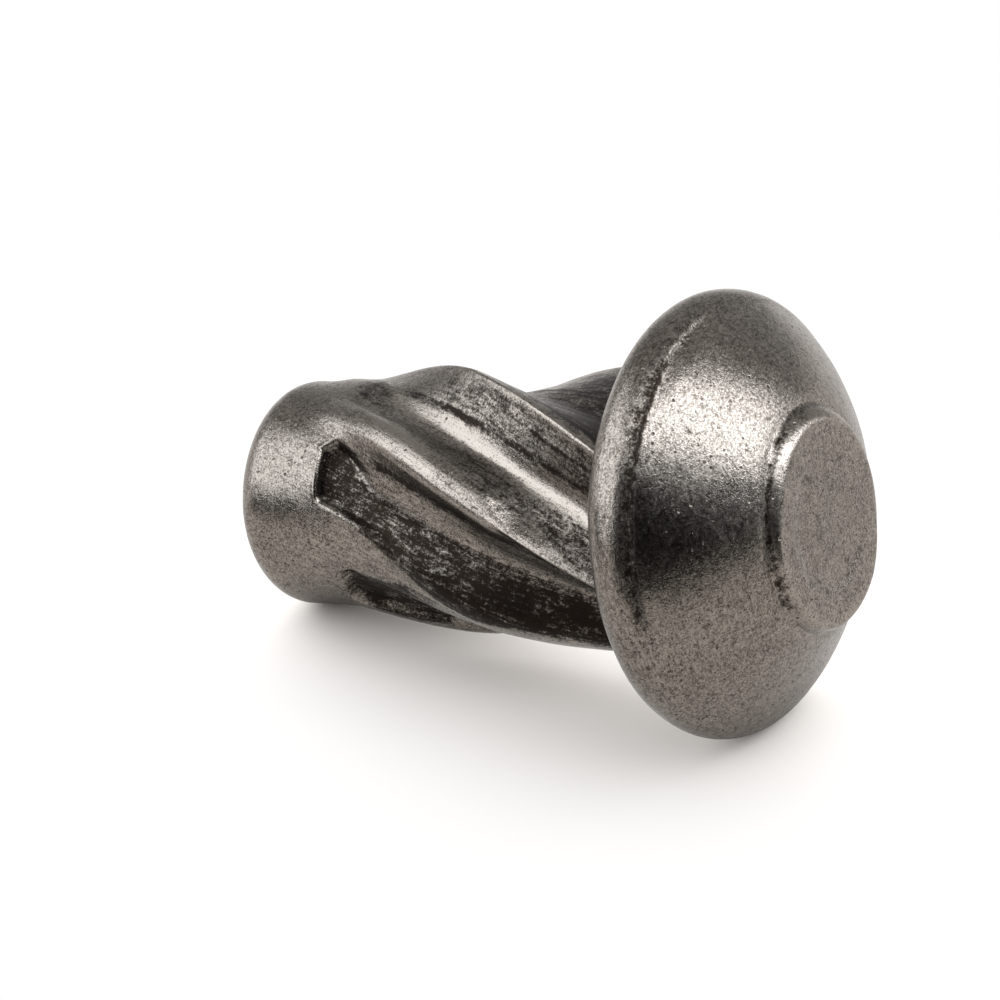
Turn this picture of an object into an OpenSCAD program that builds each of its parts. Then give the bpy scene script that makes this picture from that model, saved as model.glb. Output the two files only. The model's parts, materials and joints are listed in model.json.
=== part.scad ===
// Drive rivet, also called a hammer drive screw: one cold-headed piece of steel with no moving part.
// A low button stands on a domed head. Steep flutes are rolled into the shank and turn as it is
// driven, and a plain pilot with a rounded end guides it into the hole.
// Millimetres. It lies on its side on z = 0, on its rim and on the end of its pilot, with the head
// towards +X. The modules build it upright, with the head's bearing face at z = 0 and the shank below.

/* [Head] */
// Diameter across the rim
head_d = 3.05; // [2.6:0.05:4]
// Height from the bearing face to the top of the button
head_h = 1.02; // [0.95:0.01:1.3]
// Radius of the rounded rim
rim_r = 0.27; // [0.2:0.01:0.3]
// Angle above the level at which the rim's round ends in the crease
rim_sweep = 34; // [20:1:50]
// Width of the crease between the rim and the dome
crease_w = 0.07; // [0.03:0.01:0.12]
// Depth of the crease
crease_depth = 0.022; // [0.01:0.002:0.05]
// Radius of the dome's curve
dome_r = 1.95; // [1.6:0.05:4]

/* [Button] */
// Diameter of the button on top of the dome
button_d = 1.64; // [1.2:0.02:1.8]
// Height that the button stands above the dome at its edge
button_h = 0.1; // [0.06:0.01:0.16]
// Radius of the button's rounded edge
button_edge_r = 0.09; // [0.04:0.01:0.12]
// Depth of the shallow dish in the button's face
dish_depth = 0.015; // [0:0.005:0.04]
// Diameter of the dish
dish_d = 1.2; // [0.8:0.05:1.4]

/* [Shank] */
// Length from the bearing face to the end of the pilot
shank_l = 3.27; // [2.8:0.01:6]
// Diameter of the plain pilot, which is also that of the unrolled blank
pilot_d = 1.54; // [1.44:0.01:1.64]
// Length of the plain pilot, with its rounded end
pilot_l = 0.72; // [0.5:0.01:1.2]
// Radius of the round at the pilot's end
end_r = 0.23; // [0.1:0.01:0.3]
// Radius of the fillet under the head
neck_r = 0.16; // [0.08:0.01:0.2]

/* [Flutes] */
// Number of flutes
flute_n = 6; // [5:1:8]
// Diameter over the crests of the ridges between the flutes
crest_d = 1.84; // [1.74:0.01:1.95]
// Diameter across the deepest line of the flutes
root_d = 1.42; // [1.3:0.01:1.44]
// Length of shank in which a flute would turn once around
lead = 11; // [8:0.5:18]
// Turn of the flutes about the axis, as the rivet lies
flute_turn = 48; // [0:1:71]
// Length over which the ridges grow to their full height
growth_l = 1; // [0.5:0.05:1.4]
// Length over which the flutes run out under the neck
run_out_l = 0.35; // [0.2:0.01:0.6]
// Depth at which each flute starts below the pilot's surface
pocket_depth = 0.08; // [0.04:0.01:0.12]
// Share of the pitch between crests that the sloping land behind a crest takes
land_share = 0.28; // [0.22:0.01:0.34]
// Share of the pitch at which the flute is deepest
root_share = 0.62; // [0.55:0.01:0.66]
// Share of the pitch at which the steep flank reaches the next crest
flank_share = 0.93; // [0.88:0.01:0.96]

/* [Hidden] */
steel = [0.44, 0.42, 0.4];
$fn = 96;
// Points on each stretch of a ridge: land, step, floor, flank and crest
stretch_steps = [3, 3, 3, 4, 2];
// Rings along the flutes: some close together at their start, the rest evenly spaced
start_rings = 7;
rings = 30;
start_l = 0.24;
// What the fluted stretch keeps inside the pilot and the head where it enters them
inset = 0.008;
bury = 0.06;
arc_steps = 10;
pilot_r = pilot_d / 2;
crest_r = crest_d / 2;
root_r = root_d / 2;
// The turned form's core stays inside the flutes until they run out
core_r = min(root_r, pilot_r - pocket_depth) - 0.03;
rim_c = [head_d / 2 - rim_r, rim_r];
end_c = [pilot_r - end_r, end_r - shank_l];
flute_z = pilot_l - shank_l;
button_r = button_d / 2;
edge_c = [button_r - button_edge_r, head_h - button_edge_r];
// The dome runs from the inner lip of the crease to the foot of the button
crease_out = on_circle(rim_c, rim_r, rim_sweep);
crease_in = crease_out + crease_w * [-cos(rim_sweep), sin(rim_sweep)];
button_foot = [button_r + button_h, head_h - button_h];

function on_circle(c, r, a) = c + r * [cos(a), sin(a)];
function arc(c, r, a0, a1) =
    [for (i = [0:arc_steps]) on_circle(c, r, a0 + (a1 - a0) * i / arc_steps)];
// Arc of radius r from p to q that bulges to the right of the way from p to q
function bulge(p, q, r) =
    let (
        half = norm(q - p) / 2,
        away = [p.y - q.y, q.x - p.x] / norm(q - p),
        c = (p + q) / 2 + away * sqrt(r * r - half * half),
        a0 = atan2(p.y - c.y, p.x - c.x),
        a1 = atan2(q.y - c.y, q.x - c.x)
    )
    arc(c, r, a0, a1);
function ease(t) = let (u = min(max(t, 0), 1)) u * u * (3 - 2 * u);
function mix(a, b, t) = a + (b - a) * t;

// Outline of the turned form, from the middle of the pilot's end to the middle of the button
outline = concat(
    [[0, -shank_l]],
    arc(end_c, end_r, -90, 0),
    [[pilot_r, flute_z], [core_r, flute_z], [core_r, -neck_r - run_out_l]],
    arc([pilot_r + neck_r, -neck_r], neck_r, 180, 90),
    arc(rim_c, rim_r, -90, rim_sweep),
    [mix(crease_out, crease_in, 0.5) - crease_depth * [sin(rim_sweep), cos(rim_sweep)]],
    bulge(crease_in, button_foot, dome_r),
    arc(edge_c, button_edge_r, 0, 90),
    [[dish_d / 2, head_h], [0.75 * dish_d / 2, head_h - dish_depth], [0, head_h - dish_depth]]
);

// A ridge and its flute around the shank, as [share of the pitch, radius] where the stretches meet.
// It starts as a pocket between two lands of the plain blank, and grows into a sloping land, a
// step, a nearly level floor and a steep flank up to the next crest.
blank_r = pilot_r - inset;
pocket_r = pilot_r - pocket_depth;
start_form = [[0, blank_r], [0.13, blank_r], [0.19, pocket_r], [root_share, pocket_r],
              [root_share + 0.06, blank_r], [1, blank_r]];
full_form = [[0, crest_r], [land_share, mix(root_r, crest_r, 0.68)],
             [land_share + 0.07, mix(root_r, crest_r, 0.22)], [root_share, root_r],
             [flank_share, mix(root_r, crest_r, 0.97)], [1, crest_r]];
function form(t) = [for (k = [0:5]) mix(start_form[k], full_form[k], t)];
function ridge(t) =
    let (f = form(t))
    [for (k = [0:4]) for (i = [0:stretch_steps[k] - 1])
        let (u = i / stretch_steps[k])
        [mix(f[k][0], f[k + 1][0], u), mix(f[k][1], f[k + 1][1], ease(u))]];
flute_top = bury;
flute_bottom = flute_z - bury;
function ring_z(i) =
    i < start_rings
        ? mix(flute_bottom, flute_z + start_l, i / start_rings)
        : mix(flute_z + start_l, flute_top, (i - start_rings) / (rings - start_rings));
function ring(z) =
    let (one = ridge(ease((z - flute_z) / growth_l)))
    [for (k = [0:flute_n - 1]) for (p = one)
        let (a = flute_turn + 360 * ((k + p[0]) / flute_n + z / lead)) [p[1] * cos(a), p[1] * sin(a), z]];

module turned_form() {
    rotate_extrude() polygon(outline);
}

module fluted_stretch() {
    grid = [for (i = [0:rings]) ring(ring_z(i))];
    n = len(grid[0]);
    last = n * (rings + 1);
    sides = [for (i = [0:rings - 1]) for (j = [0:n - 1])
        let (a = i * n + j, b = i * n + (j + 1) % n) each [[a, a + n, b], [b, a + n, b + n]]];
    ends = [for (j = [0:n - 1])
        let (top = rings * n) each [[last, j, (j + 1) % n], [last + 1, top + (j + 1) % n, top + j]]];
    polyhedron(
        concat([for (row = grid) each row], [[0, 0, flute_bottom], [0, 0, flute_top]]),
        concat(sides, ends)
    );
}

module upright_rivet() {
    turned_form();
    fluted_stretch();
}

// Lean of the axis from level: a straight edge touches the rim and the pilot's end
between = rim_c - end_c;
lean = atan2(between.x, between.y) + asin((rim_r - end_r) / norm(between));
// Distance from the axis to that edge, measured square to it through the bearing face's middle
drop = rim_c.x * cos(lean) - rim_c.y * sin(lean) + rim_r;
front = edge_c.x * sin(lean) + edge_c.y * cos(lean) + button_edge_r;
back = end_c.x * sin(lean) - end_c.y * cos(lean) + end_r;

module drive_rivet() {
    color(steel) translate([(back - front) / 2, 0, drop]) rotate([0, 90 - lean, 0]) upright_rivet();
}

drive_rivet();
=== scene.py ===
import json
import math

import bpy
import numpy as np
from mathutils import Matrix, Vector, noise


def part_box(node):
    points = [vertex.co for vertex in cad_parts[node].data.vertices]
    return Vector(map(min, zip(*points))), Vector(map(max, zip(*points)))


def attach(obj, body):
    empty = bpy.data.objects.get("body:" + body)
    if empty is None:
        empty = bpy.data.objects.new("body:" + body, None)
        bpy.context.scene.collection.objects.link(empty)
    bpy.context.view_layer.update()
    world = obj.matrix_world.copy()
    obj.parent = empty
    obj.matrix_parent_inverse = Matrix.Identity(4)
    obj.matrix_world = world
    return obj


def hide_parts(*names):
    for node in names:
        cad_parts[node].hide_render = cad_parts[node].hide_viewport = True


# The looks of the drive rivet, in metres, in the frame of the CAD. Its shape is worked out upright in
# millimetres, with the head's bearing face at z = 0 and the shank below, and then laid as the CAD lies.

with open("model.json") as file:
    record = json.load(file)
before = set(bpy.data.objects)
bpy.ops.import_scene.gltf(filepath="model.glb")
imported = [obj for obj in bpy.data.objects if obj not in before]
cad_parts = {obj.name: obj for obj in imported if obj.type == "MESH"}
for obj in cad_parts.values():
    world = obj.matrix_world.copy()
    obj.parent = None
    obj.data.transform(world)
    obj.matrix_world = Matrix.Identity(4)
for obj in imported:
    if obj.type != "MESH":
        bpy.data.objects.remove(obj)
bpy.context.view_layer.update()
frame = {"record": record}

MM = 0.001
mounts = {mount["name"]: mount for mount in frame["record"]["mounts"]}


def rivet_frame():
    """Matrix from the upright rivet, in millimetres, to the row's frame."""
    pilot = Vector(mounts["pilot"]["pos_m"])
    seat = Vector(mounts["bearing_face"]["pos_m"])
    axis = -Vector(mounts["pilot"]["axis"])
    middle = pilot + axis * (seat - pilot).dot(axis)
    below = Vector((axis.z, 0, -axis.x))
    columns = Matrix((below, Vector((0, 1, 0)), axis)).transposed()
    return Matrix.Translation(middle) @ columns.to_4x4() @ Matrix.Scale(MM, 4)


TO_CAD = rivet_frame()
node_low, node_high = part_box("drive_rivet")

# Head, in millimetres
HEAD_R = (node_high[1] - node_low[1]) / 2 / MM
HEAD_H = 1.004
RIM_R = 0.236
RIM_SWEEP = 43
CREASE_W = 0.11
CREASE_DEPTH = 0.030
CREASE_SIDE = math.radians(232)
DOME_R = 1.954
DOME_SHIFT = -0.045

# The head leans a little against the shank, and stands a little off it
HEAD_LEAN = math.radians(1.875)
HEAD_SHIFT = (-0.012, 0.042)

# Button: an oval, a little off the middle of the head, in a flat ring that is sunk into the dome
BUTTON_SHIFT = (0.05, 0.055)
BUTTON_LONG = 1.15
FOOT_R = 0.69
FOOT_DIP = 0.012
FOOT_DIP_W = 0.05
EDGE_WIDE = 0.10
EDGE_NARROW = 0.05
EDGE_TURN = math.radians(-25)
FACE_TILT = -0.03
RING_Z = 0.952
RING_SOFT = 0.012
DISH_R = 0.43
DISH_DEPTH = 0.016
DISH_EDGE = 0.05
DISH_TURN = -50

# Shank
PILOT_R = mounts["pilot"]["dims"]["r_mm"]
SHANK_L = 3.27
END_R = 0.23
NECK_R = 0.16
CREST_R = 0.97
ROOT_R = 0.71
LEAD = 11
FLUTE_TURN = 48
FLUTE_N = 6
GROWTH_L = 1.0
RUN_OUT_L = 0.35
FLUTES_FROM = -3.02
LIP_H = 0.009
LIP_W = 0.012

# The rolled part of the shank stands off the pilot's axis by this much, over this length
ROLLED_SHIFT = -0.015
ROLLED_L = 1.5

# One line per ridge, each before its flute: degrees ahead of an even pitch, where it starts and stops
# to rise from the pilot, how blunt it is at first, and where it turns sharp
RIDGES = [
    dict(ahead=0, start=-2.64, end=-1.70, blunt=0.2, sharp_from=0),
    dict(ahead=0, start=-2.90, end=-1.75, blunt=0.5, sharp_from=0),
    dict(ahead=0, start=-3.00, end=-1.80, blunt=0.0, sharp_from=0),
    dict(ahead=1, start=-3.00, end=-1.60, blunt=0.2, sharp_from=0),
    dict(ahead=-3, start=-2.80, end=-1.60, blunt=1.0, sharp_from=-0.80),
    dict(ahead=0, start=-2.35, end=-1.30, blunt=1.0, sharp_from=0),
]

# One group per flute: where its pocket starts, how long its end wall is, how deep the pocket is, the
# shares of the pitch at which its step and its far edge lie where it starts, how much later its upper
# corner starts, how far the steel swells before it, and where the fold of the finished flute lies
FLUTES = [
    dict(start=-2.50, wall=0.05, depth=0.07, step=0.14, edge=0.68, corner=0.08, swell=0.0, fold=0.31),
    dict(start=-2.56, wall=0.04, depth=0.08, step=0.12, edge=0.66, corner=0.10, swell=0.0, fold=0.31),
    dict(start=-2.45, wall=0.10, depth=0.07, step=0.16, edge=0.70, corner=0.10, swell=0.0, fold=0.31),
    dict(start=-2.62, wall=0.45, depth=0.05, step=0.26, edge=0.74, corner=0.12, swell=0.03, fold=0.31),
    dict(start=-2.57, wall=0.04, depth=0.09, step=0.15, edge=0.70, corner=0.10, swell=0.0, fold=0.16),
    dict(start=-2.52, wall=0.05, depth=0.08, step=0.24, edge=0.82, corner=0.16, swell=0.0, fold=0.31),
]

# Where soot and painted shade lie in each flute: one or more zones, each as rows of (z, share of its upper
# side, share of its lower side, strength)
COMMON_SOOT_AND_SHADE = ((-2.60, 0.14, 0.70, 0.9), (-2.35, 0.24, 0.70, 0.8), (-2.00, 0.50, 0.76, 0.6),
               (-1.70, 0.56, 0.84, 0.5), (0.0, 0.56, 0.84, 0.4))
SOOT_AND_SHADE_ZONES = [
    (COMMON_SOOT_AND_SHADE,),
    (COMMON_SOOT_AND_SHADE,),
    (COMMON_SOOT_AND_SHADE,
     ((-1.40, 0.05, 0.95, 0.0), (-1.00, 0.05, 0.95, 0.45), (-0.60, 0.10, 0.95, 0.70),
      (0.0, 0.10, 0.95, 0.75))),
    (((-2.70, 0.20, 0.55, 0.0), (-2.50, 0.20, 0.60, 0.55), (-2.35, 0.30, 0.62, 0.35),
      (-2.10, 0.60, 0.80, 0.2), (-1.20, 0.66, 0.84, 0.40), (0.0, 0.66, 0.98, 0.55)),
     ((-2.10, 0.04, 0.30, 0.0), (-1.80, 0.04, 0.30, 0.36), (0.0, 0.04, 0.34, 0.48))),
    (((-2.60, 0.12, 0.70, 0.78), (-2.42, 0.20, 0.72, 0.72), (-2.25, 0.34, 0.76, 0.70),
      (-2.10, 0.48, 0.80, 0.72), (-1.93, 0.60, 0.84, 0.65), (-1.75, 0.70, 0.92, 0.6),
      (-1.60, 0.72, 1.0, 0.72), (-1.38, 0.66, 1.0, 0.80), (-0.90, 0.57, 0.87, 0.80),
      (0.0, 0.54, 0.81, 0.80)),
     ((-2.40, 0.40, 0.60, 0.2), (-2.10, 0.42, 0.80, 0.64), (-1.60, 0.46, 1.0, 0.66),
      (-0.90, 0.49, 0.90, 0.55), (0.0, 0.49, 0.85, 0.5))),
    (((-2.56, 0.45, 0.70, 0.62), (-2.45, 0.36, 0.88, 0.66), (-2.30, 0.26, 0.92, 0.66),
      (-2.10, 0.16, 0.92, 0.64), (-1.92, 0.05, 0.88, 0.62), (-1.75, 0.02, 0.60, 0.50),
      (-1.64, 0.02, 0.30, 0.0), (0.0, 0.40, 0.60, 0.0)),),
]

# How strong the painted shade line along the fold is in each flute, and the one on the land behind a crest
FOLD_SHADE_LINES = (0.7, 0.7, 0.7, 0.78, 0.75, 0.0)
LAND_SHADE_LINE = 0.75

# The two flutes that face the camera, the upper one first. The land of the lower one has no painted shade
# line, and the upper one's floor and its far crest, up to this height, get a painted highlight.
UPPER_FLUTE = 3
LOWER_FLUTE = 4
PAINTED_HIGHLIGHT_TO = -1.35

# Strength of the soot and painted shade along the crease, at the button's foot and around its dish
CREASE_SOOT_AND_SHADE = 0.66
FOOT_SOOT_AND_SHADE = 0.62
DISH_SOOT_AND_SHADE = 0.40

# The head leans, so it rests lower than the CAD's: everything turns by this much about the place
# where the pilot's end touches the floor
REST_TURN = math.radians(0.573)
touch = TO_CAD @ Vector((PILOT_R - END_R, 0, END_R - SHANK_L))
SETTLE = (Matrix.Translation((touch.x, 0, 0)) @ Matrix.Rotation(REST_TURN, 4, "Y")
          @ Matrix.Translation((-touch.x, 0, 0)))
TO_ROW = SETTLE @ TO_CAD


def ease(t):
    u = np.clip(t, 0, 1)
    return u * u * (3 - 2 * u)


def mix(a, b, t):
    return a + (b - a) * t


def arc(center, radius, start, end, steps):
    turns = np.radians(np.linspace(start, end, steps + 1))
    return [(center[0] + radius * math.cos(a), center[1] + radius * math.sin(a)) for a in turns]


def line(p, q, steps):
    return [(mix(p[0], q[0], i / steps), mix(p[1], q[1], i / steps)) for i in range(steps + 1)]


def join(*stretches):
    points = []
    for stretch in stretches:
        points += [p for p in stretch if not points or math.dist(p, points[-1]) > 1e-6]
    return points


def tip_outline():
    """Middle of the pilot's end to the start of the flutes, as (radius, z)."""
    middle = (PILOT_R - END_R, END_R - SHANK_L)
    return join(
        line((0.02, -SHANK_L), (middle[0], -SHANK_L), 7),
        arc(middle, END_R, -90, 0, 16),
        line((PILOT_R, middle[1]), (PILOT_R, FLUTES_FROM), 1),
    )


def neck_outline():
    """End of the flutes to the crease between rim and dome."""
    rim = (HEAD_R - RIM_R, RIM_R)
    return join(
        arc((PILOT_R + NECK_R, -NECK_R), NECK_R, 180, 90, 8),
        line((PILOT_R + NECK_R, 0), (rim[0], 0), 6),
        arc(rim, RIM_R, -90, RIM_SWEEP, 26),
    )


RIM_END = neck_outline()[-1]
DOME_MIDDLE = RIM_END[1] - math.sqrt(DOME_R**2 - RIM_END[0] ** 2)


def crease_share(angle):
    """How strongly the crease next to the rim shows at that angle: least opposite its deep side."""
    return 0.10 + 0.90 * ease(1.8 * np.cos(angle - CREASE_SIDE) - 0.7)


def on_button(x, y):
    """Place in the button's oval, as the way from its middle and the turn from its lower side."""
    across, down = y - BUTTON_SHIFT[1], (x - BUTTON_SHIFT[0]) / BUTTON_LONG
    return np.hypot(down, across), np.arctan2(across, down)


def top_height(x, y):
    """Height of the head's top: the dome, its crease next to the rim, and the button in its ring."""
    radius = np.hypot(x, y)
    crease = np.sqrt(np.clip((RIM_END[0] - radius) / CREASE_W, 0, 1))
    dip = CREASE_DEPTH * crease_share(np.arctan2(y, x)) * np.sin(math.pi * crease) ** 2
    beside = x - DOME_SHIFT * ease((RIM_END[0] - radius) / 0.5)
    dome = DOME_MIDDLE + np.sqrt(DOME_R**2 - beside**2 - y**2) - dip
    over = dome - RING_Z
    dome = RING_Z + (over - np.hypot(over, RING_SOFT)) / 2
    off, turn = on_button(x, y)
    down = off * np.cos(turn)
    narrow = ease((np.cos(turn - EDGE_TURN) + 0.1) / 0.6)
    edge_w = mix(EDGE_WIDE, EDGE_NARROW, narrow)
    foot = FOOT_DIP * np.exp(-(((off - FOOT_R) / FOOT_DIP_W) ** 2))
    rise = 1 - np.clip((off - FOOT_R + edge_w) / edge_w, 0, 1) ** 2
    side = ease(0.5 + 0.7 * np.cos(turn - math.radians(DISH_TURN)))
    dish = DISH_DEPTH * side * ease((DISH_R - off) / DISH_EDGE + 0.5) * ease(off / 0.4)
    return mix(dome - foot, HEAD_H + FACE_TILT * down - dish, rise)


def set_head(row, z):
    """The row of points as the head carries it: leaning and shifted, from the neck upwards."""
    share = ease((z + NECK_R) / NECK_R)
    lean = HEAD_LEAN * share
    x = row[:, 0] * np.cos(lean) - row[:, 2] * np.sin(lean) + HEAD_SHIFT[0] * share
    height = row[:, 0] * np.sin(lean) + row[:, 2] * np.cos(lean) + HEAD_SHIFT[1] * share
    return np.stack([x, row[:, 1], height], axis=-1)


# Shares of the pitch at which the columns of the mesh lie, closer together where a ridge is sharp
STRETCHES = ((0, 0.10, 10), (0.10, 0.26, 8), (0.26, 0.37, 10), (0.37, 0.62, 9), (0.62, 0.92, 15),
             (0.92, 1, 8))
SHARES = np.concatenate([np.linspace(a, b, n, endpoint=False) for a, b, n in STRETCHES])
COLUMNS = len(SHARES) * FLUTE_N
PITCH = 360 / FLUTE_N
STARTS = [FLUTE_TURN + PITCH * k + RIDGES[k % FLUTE_N]["ahead"] for k in range(FLUTE_N + 1)]
BASE = np.concatenate([mix(STARTS[k], STARTS[k + 1], SHARES) for k in range(FLUTE_N)])

# Full ridge, as (share, height of the ridge from root to crest): the land behind the crest, a fold
# down at 0.31, the floor, and the flank up to the next crest. Sharp first, then blunt.
SHARP = ((0, 1), (0.02, 0.97), (0.06, 0.82), (0.10, 0.69), (0.20, 0.47), (0.28, 0.33), (0.34, 0.24),
         (0.37, 0.20), (0.40, 0.15), (0.45, 0.07), (0.49, 0.025), (0.53, 0.003), (0.57, 0.004),
         (0.60, 0.028), (0.64, 0.08), (0.68, 0.145), (0.72, 0.22), (0.80, 0.38), (0.88, 0.64),
         (0.95, 0.89), (1, 1))
BLUNT = ((0, 1), (0.05, 0.99), (0.10, 0.94), (0.15, 0.86), (0.20, 0.72), (0.28, 0.46), (0.34, 0.28),
         (0.37, 0.21), (0.40, 0.15), (0.45, 0.07), (0.49, 0.025), (0.53, 0.003), (0.57, 0.004),
         (0.60, 0.03), (0.64, 0.10), (0.68, 0.20), (0.72, 0.34), (0.78, 0.60), (0.84, 0.84),
         (0.90, 0.95), (0.95, 0.99), (1, 1))
FOLD = 0.31


def profile(points, share):
    return np.interp(share, [p[0] for p in points], [p[1] for p in points])


def wobble(seed, z, size):
    """A soft irregular offset for each column of one flute."""
    return size * np.array([noise.noise(Vector((5 * share + 7 * seed, 3 * z, seed))) for share in SHARES])


def hump(t, middle, width):
    return np.exp(-((t - middle) / width) ** 2)


def risen(ridge, z):
    """How far a ridge has risen, nearly straight with soft ends."""
    t = np.clip((z - ridge["start"]) / (ridge["end"] - ridge["start"]), 0, 1)
    return float(mix(t, ease(t), 0.4))


def bluntness(ridge, z):
    return float(ridge["blunt"] * ease((ridge["sharp_from"] - z) / 0.3))


def flute_soot_and_shade(k, z, share):
    """Soot and painted shade of one flute at one height, for each share of the pitch."""
    soot = np.zeros(len(share))
    for zone in SOOT_AND_SHADE_ZONES[k]:
        heights, upper, lower, strength = np.array(zone).T
        top, bottom = np.interp(z, heights, upper), np.interp(z, heights, lower)
        inside = ease((share - top) / 0.06 + 0.5) * (1 - ease((share - bottom) / 0.06 + 0.5))
        soot = np.maximum(soot, inside * np.interp(z, heights, strength))
    return soot


def pocket(k, z, share):
    """Radius of the blank with one flute's pocket in it, and how far the pocket is open."""
    flute = FLUTES[k]
    step_w = 0.07 + 0.25 * float(ease((z - flute["start"] - 0.1) / 0.5))
    inside = ease((share - flute["step"]) / step_w) * (1 - ease((share - flute["edge"]) / 0.05))
    late = flute["corner"] * np.clip((flute["step"] + 0.16 - share) / 0.16, 0, 1)
    depth_in = z - flute["start"] - late - wobble(k + 20, 0, 0.02)
    opened = ease(depth_in / flute["wall"])
    lip = LIP_H * inside * hump(depth_in, -LIP_W, LIP_W) * (flute["wall"] < 0.06)
    swell = flute["swell"] * hump(z, flute["start"] - 0.12, 0.30) * hump(SHARES, 0.25, 0.28)
    swell = swell * ease((z - FLUTES_FROM) / 0.25)
    return PILOT_R - flute["depth"] * inside * opened + lip + swell, opened


def flute_marks(k, z, share, folded, growth):
    """Painted shade lines, and wear with painted highlights, of one flute."""
    later = ease((growth - 0.1) / 0.5)
    # Painted shade lines along the fold and on the land behind a crest
    fold_shade_line = FOLD_SHADE_LINES[k] * hump(folded, 0.33, 0.05)
    land_shade_line = LAND_SHADE_LINE * hump(share, 0.16, 0.03) * (k != LOWER_FLUTE) * ease((z + 1.05) / 0.2)
    # Crests a little lighter; in the upper flute a band on the floor and the far crest get a painted
    # highlight
    worn = 0.5 * (hump(share, 0.0, 0.03) + hump(share, 1.0, 0.03))
    if k == UPPER_FLUTE:
        band = hump(share, np.interp(z, (-1.8, -0.5), (0.42, 0.60)), 0.09)
        painted_crest_highlight = ease((PAINTED_HIGHLIGHT_TO - z) / 0.3) * hump(share, 0.88, 0.09)
        worn = worn + 1.2 * band + painted_crest_highlight
    return later * np.maximum(fold_shade_line, land_shade_line), later * worn


def flute_part(k, z):
    """Radius, soot with painted shade, and wear with painted highlights of one flute at one height, for
    each share of the pitch.
    """
    flute, ridge, following = FLUTES[k], RIDGES[k], RIDGES[(k + 1) % FLUTE_N]
    growth = float(ease((z - flute["start"]) / GROWTH_L))
    grown = np.where(SHARES < 0.5, mix(risen(ridge, z), growth, ease(SHARES / 0.3)),
                     mix(growth, risen(following, z), ease((SHARES - 0.62) / 0.3)))
    share = SHARES + wobble(k + 1, z, 0.02) * np.sin(math.pi * SHARES)
    folded = np.interp(share, [0, flute["fold"], 1], [0, FOLD, 1])
    blunt = np.where(SHARES < 0.5, bluntness(ridge, z), bluntness(following, z))
    height = mix(profile(SHARP, folded), profile(BLUNT, folded), blunt)
    start, opened = pocket(k, z, share)
    lines, worn = flute_marks(k, z, share, folded, growth)
    zone = flute_soot_and_shade(k, z, share) * (opened if flute["wall"] < 0.2 else 1)
    return mix(start, mix(ROOT_R, CREST_R, height), grown), np.maximum(zone, lines), worn


def flute_section(z):
    """Radius, soot with painted shade, and wear with painted highlights of the shank at each column, at
    one height.
    """
    parts = [flute_part(k, z) for k in range(FLUTE_N)]
    return tuple(np.concatenate(values) for values in zip(*parts))


def shank_heights():
    """Heights of the rings along the flutes: close together where the pockets start."""
    return np.concatenate([np.linspace(FLUTES_FROM, -2.68, 6, endpoint=False)[1:],
                           np.linspace(-2.68, -2.25, 42, endpoint=False),
                           np.linspace(-2.25, -NECK_R, 72, endpoint=False)])


def turned_row(radius, z):
    angle = np.radians(BASE + 360 / LEAD * np.clip(z, FLUTES_FROM, 0))
    rolled = ease((z - FLUTES_FROM) / ROLLED_L) * ease(-z / NECK_R)
    x = radius * np.cos(angle) + ROLLED_SHIFT * rolled
    return np.stack([x, radius * np.sin(angle), np.full(COLUMNS, float(z))], axis=-1)


def crease_soot_and_shade(row, off):
    """Soot and painted shade along the crease: off is the way from the rim's end, positive on the rim."""
    band = ease((off + 0.055) / 0.015) * (1 - ease((off - 0.02) / 0.10))
    return CREASE_SOOT_AND_SHADE * band * crease_share(np.arctan2(row[:, 1], row[:, 0])) ** 2


def foot_soot_and_shade(row):
    """Soot and painted shade at the button's foot and around its dish, each stronger on one side."""
    off, turn = on_button(row[:, 0], row[:, 1])
    foot = FOOT_SOOT_AND_SHADE * hump(off, FOOT_R - 0.01, 0.020) * ease(1.1 * np.cos(turn + math.radians(125)))
    dish = DISH_SOOT_AND_SHADE * hump(off, DISH_R, 0.016) * ease(0.2 + np.cos(turn + math.radians(65)))
    return np.maximum(foot, dish)


CLEAN = np.zeros(COLUMNS)

# Where the top of the head starts to turn from the round rim to the button's oval, and where it has
OVAL_FROM = 1.30
OVAL_AT = FOOT_R + 0.17


def shank_rows():
    """Rows of the pilot and the flutes, each as points, soot with painted shade, wear with painted
    highlights and its fluted share.
    """
    made = [(turned_row(r, z), CLEAN, CLEAN, 0.0) for r, z in tip_outline()]
    for z in shank_heights():
        radius, soot, worn = flute_section(z)
        run_out = mix(ROOT_R - 0.02, PILOT_R, (z + NECK_R + RUN_OUT_L) / RUN_OUT_L)
        fluted = float(ease((z - FLUTES_FROM) / 0.5))
        made.append((turned_row(np.maximum(radius, run_out), z), soot, worn, fluted))
    return made


def neck_rows():
    """Rows from the end of the flutes to the crease. The ridges reach the head's lower face."""
    made = []
    for r, z in neck_outline():
        radius, soot, worn = flute_section(min(z, 0))
        row = set_head(turned_row(np.maximum(r, radius), z), z)
        if z > RIM_R:
            soot = crease_soot_and_shade(row, math.dist((r, z), RIM_END))
        # Soot and painted shade are kept only next to the shank and in the crease
        soot_and_shade_kept = (r < 1.1 * PILOT_R) | (z > RIM_R)
        made.append((row, soot * soot_and_shade_kept, worn * (z < 0), float(z < 0)))
    return made


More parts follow.
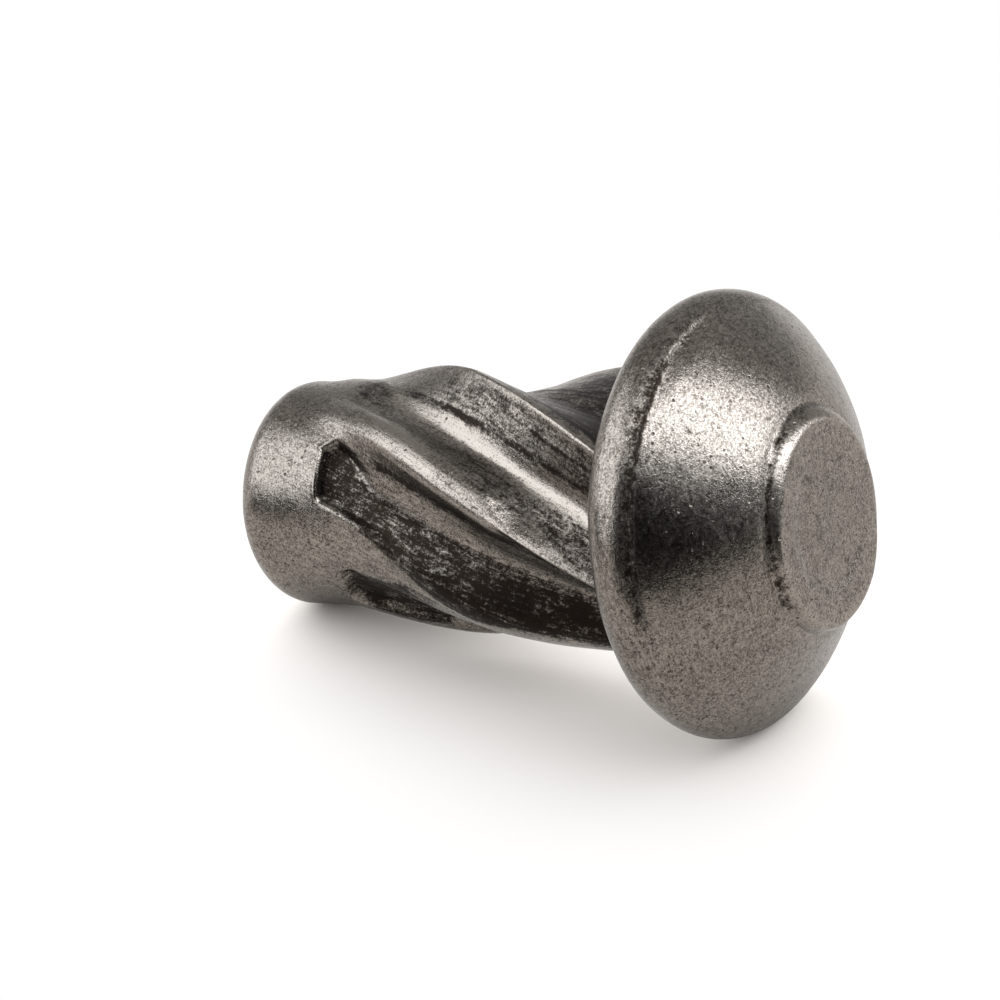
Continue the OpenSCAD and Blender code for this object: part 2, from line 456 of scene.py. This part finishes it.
def top_rows():
    """Rows from the crease to the middle of the button."""
    made = []
    edge, inside = RIM_END[0], RIM_END[0] - CREASE_W
    stops = ((edge, inside, 9), (inside, OVAL_AT, 14), (OVAL_AT, FOOT_R - EDGE_WIDE, 30),
             (FOOT_R - EDGE_WIDE, DISH_R - 0.05, 8), (DISH_R - 0.05, 0.02, 9))
    for r in np.concatenate([np.linspace(a, b, n)[1:] for a, b, n in stops]):
        moved = float(ease((OVAL_FROM - r) / (OVAL_FROM - OVAL_AT)))
        row = turned_row(r, 0)
        row[:, 0] = row[:, 0] * mix(1, BUTTON_LONG, moved) + BUTTON_SHIFT[0] * moved
        row[:, 1] += BUTTON_SHIFT[1] * moved
        row[:, 2] = top_height(row[:, 0], row[:, 1])
        # Soot and painted shade in the crease, at the button's foot and around its dish
        soot = np.maximum(crease_soot_and_shade(row, 1.4 * (r - edge)), foot_soot_and_shade(row))
        # Painted highlight along the button's edge, carried with the wear
        worn = np.full(COLUMNS, 0.6 * hump(r, FOOT_R - 0.05, 0.05))
        made.append((set_head(row, 0.0), soot, worn, 0.0))
    return made


# Unevenness of the surface, as (size in millimetres of one bump, height of the bumps)
UNEVEN = ((0.55, 0.006), (0.16, 0.0009), (0.07, 0.0005))


def uneven(points, normals):
    """Each point moved along its normal by soft noise."""
    moved = points.copy()
    for size, height in UNEVEN:
        lift = [noise.noise(Vector(p) / size + Vector((3.1, 7.7, size))) for p in points.tolist()]
        moved += normals * (height * np.array(lift))[:, None]
    return moved


def grid_normals(grid):
    along = np.gradient(grid, axis=0)
    around = np.roll(grid, -1, axis=1) - np.roll(grid, 1, axis=1)
    normal = np.cross(around, along)
    return normal / np.maximum(np.linalg.norm(normal, axis=-1, keepdims=True), 1e-9)


def add_attribute(mesh, name, values, kind="FLOAT"):
    layer = mesh.attributes.new(name, kind, "POINT")
    layer.data.foreach_set("vector" if kind == "FLOAT_VECTOR" else "value", np.ravel(values))


def closed_faces(index):
    """Quads between the rows, and a fan of triangles around a middle point at each end."""
    ahead = np.roll(index, -1, axis=1)
    quads = np.stack([index[:-1], ahead[:-1], ahead[1:], index[1:]], axis=-1).reshape(-1, 4)
    start, end = index.size, index.size + 1
    faces = [tuple(q) for q in quads.tolist()]
    faces += [(start, int(ahead[0, j]), int(index[0, j])) for j in range(index.shape[1])]
    faces += [(end, int(index[-1, j]), int(ahead[-1, j])) for j in range(index.shape[1])]
    return faces


def flow_of(grid):
    """Place on the surface as a turn and a way along it, so that marks can follow the flutes."""
    steps = np.linalg.norm(np.diff(grid[:, 0], axis=0, prepend=grid[:1, 0]), axis=-1)
    run = np.cumsum(steps)[:, None] * np.ones(COLUMNS)
    turn = np.radians(BASE) * np.ones((len(grid), 1))
    flow = np.stack([np.cos(turn), np.sin(turn), run], axis=-1).reshape(-1, 3)
    return np.concatenate([flow, flow[[0, -1]]])


def build_rivet():
    made = shank_rows() + neck_rows() + top_rows()
    grid = np.array([row[0] for row in made])
    index = np.arange(len(grid) * COLUMNS).reshape(len(grid), COLUMNS)
    surface = uneven(grid.reshape(-1, 3), grid_normals(grid).reshape(-1, 3))
    ends = [surface[index[0]].mean(axis=0), surface[index[-1]].mean(axis=0)]
    corners = np.concatenate([surface, ends])
    mesh = bpy.data.meshes.new("rivet_surface")
    mesh.from_pydata([tuple(p) for p in corners], [], closed_faces(index))
    add_attribute(mesh, "place", corners, "FLOAT_VECTOR")
    add_attribute(mesh, "flow", flow_of(grid), "FLOAT_VECTOR")
    for name, part in (("soot", 1), ("worn", 2), ("fluted", 3)):
        values = np.concatenate([row[part] * np.ones(COLUMNS) for row in made])
        add_attribute(mesh, name, np.concatenate([values, [0, 0]]))
    mesh.transform(TO_ROW)
    mesh.update()
    mesh.shade_smooth()
    piece = bpy.data.objects.new("rivet_surface", mesh)
    bpy.context.scene.collection.objects.link(piece)
    return piece


class Graph:
    """Short calls that add nodes to a material and link them."""

    def __init__(self, material):
        self.tree = material.node_tree

    def node(self, kind, **settings):
        made = self.tree.nodes.new(kind)
        for name, value in settings.items():
            setattr(made, name, value)
        return made

    def put(self, socket, value):
        if isinstance(value, bpy.types.NodeSocket):
            self.tree.links.new(value, socket)
        else:
            socket.default_value = value

    def attribute(self, name, output):
        return self.node("ShaderNodeAttribute", attribute_name=name).outputs[output]

    def math(self, operation, *values, clamp=False):
        made = self.node("ShaderNodeMath", operation=operation, use_clamp=clamp)
        for socket, value in zip(made.inputs, values):
            self.put(socket, value)
        return made.outputs[0]

    def stretch(self, vector, scale):
        made = self.node("ShaderNodeVectorMath", operation="MULTIPLY")
        self.put(made.inputs[0], vector)
        self.put(made.inputs[1], scale)
        return made.outputs[0]

    def noise(self, vector, scale, detail=3, roughness=0.6):
        made = self.node("ShaderNodeTexNoise")
        self.put(made.inputs["Vector"], vector)
        self.put(made.inputs["Scale"], scale)
        self.put(made.inputs["Detail"], detail)
        self.put(made.inputs["Roughness"], roughness)
        return made.outputs["Fac"]

    def cells(self, vector, scale):
        made = self.node("ShaderNodeTexVoronoi")
        self.put(made.inputs["Vector"], vector)
        self.put(made.inputs["Scale"], scale)
        return made.outputs["Distance"]

    def span(self, value, low, high, to_low=0.0, to_high=1.0):
        made = self.node("ShaderNodeMapRange", interpolation_type="SMOOTHSTEP")
        for name, setting in (("Value", value), ("From Min", low), ("From Max", high), ("To Min", to_low),
                              ("To Max", to_high)):
            self.put(made.inputs[name], setting)
        return made.outputs["Result"]

    def blend(self, share, a, b):
        made = self.node("ShaderNodeMix", data_type="FLOAT")
        self.put(made.inputs[0], share)
        self.put(made.inputs[2], a)
        self.put(made.inputs[3], b)
        return made.outputs[0]

    def mix(self, share, a, b):
        made = self.node("ShaderNodeMix", data_type="RGBA")
        self.put(made.inputs["Factor"], share)
        self.put(made.inputs[6], a)
        self.put(made.inputs[7], b)
        return made.outputs[2]

    def sum(self, *terms):
        """Sum of (socket, factor) pairs."""
        total = None
        for socket, factor in terms:
            term = self.math("MULTIPLY", socket, factor)
            total = term if total is None else self.math("ADD", total, term)
        return total


# The last of these colours is soot, and also painted shade in the hollows and creases
STEEL_DARK = (0.086, 0.072, 0.061, 1)
STEEL_LIGHT = (0.350, 0.310, 0.270, 1)
SOOT_AND_SHADE = (0.018, 0.013, 0.010, 1)


def steel_material():
    """Tumbled steel: fine grain and pits, drawn marks along the flutes, soot with painted shade in the
    hollows and creases, and painted highlights where the wear lifts the tone.
    """
    material = bpy.data.materials.new("tumbled_steel")
    material.use_nodes = True
    graph = Graph(material)
    place = graph.attribute("place", "Vector")
    flow = graph.attribute("flow", "Vector")
    fluted = graph.attribute("fluted", "Fac")
    fine = graph.noise(place, 85, 2, 0.7)
    grain = graph.noise(place, 38, 3)
    mottle = graph.noise(place, 9, 4)
    cloud = graph.noise(place, 1.8, 3)
    drawn = graph.noise(graph.stretch(flow, (1, 1, 0.10)), 56, 4, 0.75)
    around = graph.noise(graph.stretch(flow, (0.4, 0.4, 1)), 60, 3, 0.7)
    smear = graph.noise(graph.stretch(flow, (1, 1, 0.14)), 34, 3, 0.65)
    pits = graph.span(graph.cells(place, 17), 0.10, 0.26, 1, 0)
    pits = graph.math("MULTIPLY", pits, graph.span(mottle, 0.50, 0.62))
    streak = graph.blend(fluted, around, drawn)
    tone = graph.sum((fine, 0.40), (grain, 0.22), (mottle, 0.08), (streak, 0.26), (cloud, 0.04))
    scratches = graph.noise(graph.stretch(flow, (1, 1, 0.05)), 70, 2, 0.5)
    scratches = graph.math("MULTIPLY", graph.span(scratches, 0.62, 0.70), fluted)
    # The wear, with its painted highlights, lifts the tone
    tone = graph.sum((tone, 1), (graph.attribute("worn", "Fac"), 0.08), (scratches, 0.08))
    low, high = graph.blend(fluted, 0.388, 0.41), graph.blend(fluted, 0.612, 0.59)
    metal = graph.mix(graph.span(tone, low, high), STEEL_DARK, STEEL_LIGHT)
    smear = graph.blend(fluted, graph.noise(place, 14, 3), smear)
    patchy = graph.sum((mottle, 0.8), (smear, 1.3), (grain, 0.9), (fine, 0.8))
    # Soot and painted shade darken the colour, broken up by noise, and so do the pits
    soot = graph.math("ADD", graph.attribute("soot", "Fac"), graph.sum((patchy, -1.0)))
    soot = graph.span(soot, -1.88, -1.12)
    soot = graph.math("MAXIMUM", soot, graph.math("MULTIPLY", pits, 0.8))
    shader = material.node_tree.nodes["Principled BSDF"]
    graph.put(shader.inputs["Base Color"], graph.mix(soot, metal, SOOT_AND_SHADE))
    shader.inputs["Metallic"].default_value = 1
    rough = graph.sum((grain, 0.20), (cloud, 0.16), (soot, 0.25), (mottle, 0.10))
    graph.put(shader.inputs["Roughness"], rough)
    bump = graph.node("ShaderNodeBump")
    height = graph.sum((fine, 0.40), (grain, 0.35), (streak, 0.30), (mottle, 0.4), (pits, -0.8))
    graph.put(bump.inputs["Height"], height)
    bump.inputs["Distance"].default_value = 0.000004
    bump.inputs["Strength"].default_value = 1
    graph.put(shader.inputs["Normal"], bump.outputs["Normal"])
    return material


rivet = build_rivet()
rivet.data.materials.append(steel_material())
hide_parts("drive_rivet")
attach(rivet, "root")

# Camera, at the photograph's angle. The frame's middle lies this much, in head radii, to the left of
# a point just above the middle of the bearing face, and over it.
FRAME_MIDDLE = (0.898, 0.0658)
VIEW_AZIMUTH = math.radians(30.61)
VIEW_ELEVATION = math.radians(29.42)
VIEW_DISTANCE = 40 * HEAD_R * MM
SENSOR = 36
back = Vector((math.sin(VIEW_AZIMUTH) * math.cos(VIEW_ELEVATION),
               -math.cos(VIEW_AZIMUTH) * math.cos(VIEW_ELEVATION), math.sin(VIEW_ELEVATION)))
right = Vector((math.cos(VIEW_AZIMUTH), math.sin(VIEW_AZIMUTH), 0))
above = back.cross(right)
camera_data = bpy.data.cameras.new("camera")
camera_data.lens = 324.1
camera_data.sensor_width = SENSOR
camera_data.clip_start = 0.001
camera_data.clip_end = 10
camera = bpy.data.objects.new("camera", camera_data)
bpy.context.scene.collection.objects.link(camera)
anchor = TO_CAD @ Vector((0, 0, 0.05 * HEAD_R))
off_middle = FRAME_MIDDLE[0] * right - FRAME_MIDDLE[1] * above
place = anchor - off_middle * HEAD_R * MM + back * VIEW_DISTANCE
aim = Matrix((right, above, back)).transposed().to_4x4()
camera.matrix_world = SETTLE @ Matrix.Translation(place) @ aim
bpy.context.scene.camera = camera

# Floor
floor_mesh = bpy.data.meshes.new("floor")
FLOOR = 0.6
floor_mesh.from_pydata([(-FLOOR, -FLOOR, 0), (FLOOR, -FLOOR, 0), (FLOOR, FLOOR, 0), (-FLOOR, FLOOR, 0)],
                       [], [(0, 1, 2, 3)])
floor = bpy.data.objects.new("floor", floor_mesh)
bpy.context.scene.collection.objects.link(floor)
FLOOR_GLOW = 0.60
FLOOR_SEEN = (0.87, 0.785, 0.71, 1)
# Darker copy of the floor's colour, which every ray but the camera's sees: painted shade of the floor in
# reflections
FLOOR_SHADED_IN_REFLECTIONS = (0.42, 0.38, 0.34, 1)


def floor_material():
    """Pale floor. The camera sees white as far as the floor is open, and next to the rivet the shadow of
    its lamps deepened by painted shade from ambient occlusion;
    in reflections it glows over a darker copy of its colour, with painted shade from ambient occlusion
    close under the rivet."""
    material = bpy.data.materials.new("pale_floor")
    material.use_nodes = True
    graph = Graph(material)
    shader = material.node_tree.nodes["Principled BSDF"]
    rays = graph.node("ShaderNodeLightPath")
    seen = rays.outputs["Is Camera Ray"]
    mirrored = graph.math("MAXIMUM", rays.outputs["Is Glossy Ray"], rays.outputs["Is Transmission Ray"])
    graph.put(shader.inputs["Base Color"], graph.mix(seen, FLOOR_SHADED_IN_REFLECTIONS, FLOOR_SEEN))
    shader.inputs["Roughness"].default_value = 1
    shader.inputs["Specular IOR Level"].default_value = 0
    glow = graph.node("ShaderNodeEmission")
    # Painted shade from ambient occlusion: the glow fades near the rivet, over 8 mm for the camera and 0.4
    # mm for reflections
    occlusion_shade = graph.node("ShaderNodeAmbientOcclusion", samples=16)
    graph.put(occlusion_shade.inputs["Distance"], graph.blend(seen, 0.0004, 0.008))
    painted_shade_share = graph.math("POWER", occlusion_shade.outputs["AO"], graph.blend(seen, 1.5, 1.35))
    share = graph.sum((seen, 1), (mirrored, FLOOR_GLOW))
    both = graph.node("ShaderNodeMixShader")
    graph.put(both.inputs[0], graph.math("MULTIPLY", share, painted_shade_share, clamp=True))
    graph.put(both.inputs[1], shader.outputs[0])
    graph.put(both.inputs[2], glow.outputs[0])
    graph.put(material.node_tree.nodes["Material Output"].inputs[0], both.outputs[0])
    return material


floor.data.materials.append(floor_material())

# Dark card that stands on the floor in front, seen only in reflections
CARD_R = 0.0095

# Upper edge of the card, as (azimuth, elevation seen from the rivet) in degrees
CARD_EDGE = ((-10, 10), (-4, 52), (43, 59), (60, 54), (73, 48),
             (84, 42), (93, 33), (105, 25), (132, 4))


def stand_card(name, points, faces, material):
    """Dark card on the stage, which nothing but reflections shows."""
    mesh = bpy.data.meshes.new(name)
    mesh.from_pydata([tuple(p) for p in points], [], faces)
    mesh.materials.append(material)
    card = bpy.data.objects.new(name, mesh)
    bpy.context.scene.collection.objects.link(card)
    card.visible_camera = False
    card.visible_shadow = False
    card.visible_diffuse = False


def dark_material():
    material = bpy.data.materials.new("dark_card")
    material.use_nodes = True
    shader = material.node_tree.nodes["Principled BSDF"]
    shader.inputs["Base Color"].default_value = (0.02, 0.02, 0.02, 1)
    shader.inputs["Roughness"].default_value = 1
    shader.inputs["Specular IOR Level"].default_value = 0
    return material


def dark_card(material):
    middle = TO_ROW @ Vector((0, 0, 0.5))
    points = []
    for degrees in np.linspace(CARD_EDGE[0][0], CARD_EDGE[-1][0], 60):
        turn = math.radians(degrees)
        rise = np.interp(degrees, [p[0] for p in CARD_EDGE], [p[1] for p in CARD_EDGE])
        x = middle.x + CARD_R * math.sin(turn)
        y = middle.y - CARD_R * math.cos(turn)
        points += [(x, y, 0.0), (x, y, middle.z + CARD_R * math.tan(math.radians(rise)))]
    faces = [(i, i + 2, i + 3, i + 1) for i in range(0, len(points) - 2, 2)]
    stand_card("dark_card", points, faces, material)


# Ends and height in millimetres of a short card to the left, which only the pilot and the start of the
# flutes mirror
PILOT_CARD_ENDS = ((-7.3, -3.6, 0), (-4.3, -6.8, 0))
PILOT_CARD_H = 2.15


def pilot_card(material):
    low = [Vector(end) * MM for end in PILOT_CARD_ENDS]
    points = low + [p + Vector((0, 0, PILOT_CARD_H * MM)) for p in low]
    stand_card("pilot_card", points, [(0, 1, 3, 2)], material)


card_material = dark_material()
dark_card(card_material)
pilot_card(card_material)

# Soft boxes, as (name, azimuth, elevation, width, height, roll in degrees, radiance), seen from the
# rivet: a wide one to the left and a long narrow one to the right and behind light the rivet, and a
# low one behind and a wide one overhead light the floor
RIVET_BOXES = (
    ("left_box", -52, 29, 76, 60, 36, 1.75),
    ("right_box", 105, 43, 34, 100, 29, 4.0),
)
FLOOR_BOXES = (
    ("back_box", 205, 25, 110, 50, 0, 6.6),
    ("top_box", 200, 85, 130, 130, 0, 0.48),
)
BOX_DISTANCE = 0.12
BOX_COLOR = (0.94, 1.0, 1.07)


def soft_box(target, name, azimuth, elevation, width, height, roll, radiance):
    """Rectangular lamp that covers those angles seen from the rivet, and lights one object."""
    turn, rise, lean = math.radians(azimuth), math.radians(elevation), math.radians(roll)
    away = Vector((math.sin(turn) * math.cos(rise), -math.cos(turn) * math.cos(rise), math.sin(rise)))
    side = Vector((math.cos(turn), math.sin(turn), 0))
    top = away.cross(side)
    data = bpy.data.lights.new(name, "AREA")
    data.shape = "RECTANGLE"
    data.size = 2 * BOX_DISTANCE * math.tan(math.radians(width / 2))
    data.size_y = 2 * BOX_DISTANCE * math.tan(math.radians(height / 2))
    data.energy = radiance * 4 * data.size * data.size_y
    data.color = BOX_COLOR
    box = bpy.data.objects.new(name, data)
    across = side * math.cos(lean) + top * math.sin(lean)
    box.rotation_euler = Matrix((across, away.cross(across), away)).transposed().to_euler()
    box.location = away * BOX_DISTANCE
    box.visible_camera = False
    bpy.context.scene.collection.objects.link(box)
    lit = bpy.data.collections.new(name + "_lights")
    lit.objects.link(target)
    box.light_linking.receiver_collection = lit


for box in RIVET_BOXES:
    soft_box(rivet, *box)
for box in FLOOR_BOXES:
    soft_box(floor, *box)

# World: an even dim grey
WORLD = 0.42
world = bpy.data.worlds.new("studio")
bpy.context.scene.world = world
world.use_nodes = True
world.node_tree.nodes["Background"].inputs["Color"].default_value = (WORLD, WORLD, WORLD, 1)
bpy.context.scene.view_settings.view_transform = "Standard"

bpy.context.view_layer.update()
